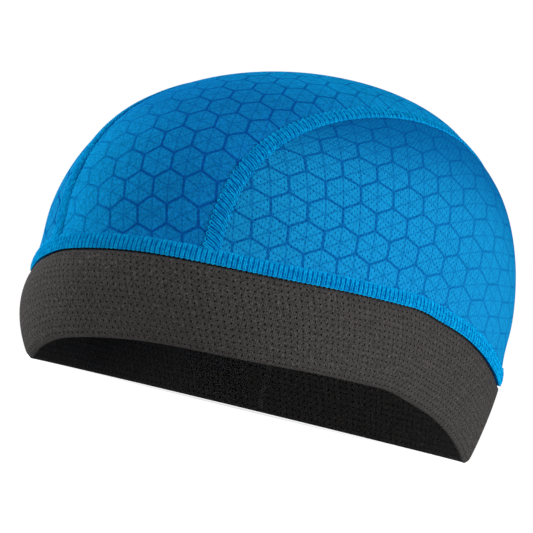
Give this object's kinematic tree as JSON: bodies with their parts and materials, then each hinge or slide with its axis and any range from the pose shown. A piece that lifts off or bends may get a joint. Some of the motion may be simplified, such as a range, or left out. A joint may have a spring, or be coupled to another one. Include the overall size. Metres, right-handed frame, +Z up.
{
  "type": "skull cap",
  "caption": "Close-fitting skull cap with a printed jersey strip over the crown, printed mesh side panels, flat seams and a double knit band.",
  "frame": {"origin": "the point under the middle of the cap's box, on the surface that its rim rests on", "axes": "+Z up to the crown, +X to the wearer's left, -Y to the front of the head"},
  "size_m": [0.1426, 0.2064, 0.1213],
  "materials": {
    "centre_jersey": "smooth jersey, matt, printed with outlined hexagons",
    "side_mesh": "fine perforated mesh, matt, printed with outlined hexagons",
    "seam_thread": "flat overlocked stitching, slightly glossy thread",
    "band_knit": "matt dark grey perforated knit"
  },
  "bodies": {
    "root": {"centre_panel": "centre_jersey", "side_panel_left": "side_mesh", "side_panel_right": "side_mesh", "seam_left": "seam_thread", "seam_right": "seam_thread", "band_seam": "seam_thread", "band": "band_knit", "band_join": "band_knit"}
  },
  "joints": []
}
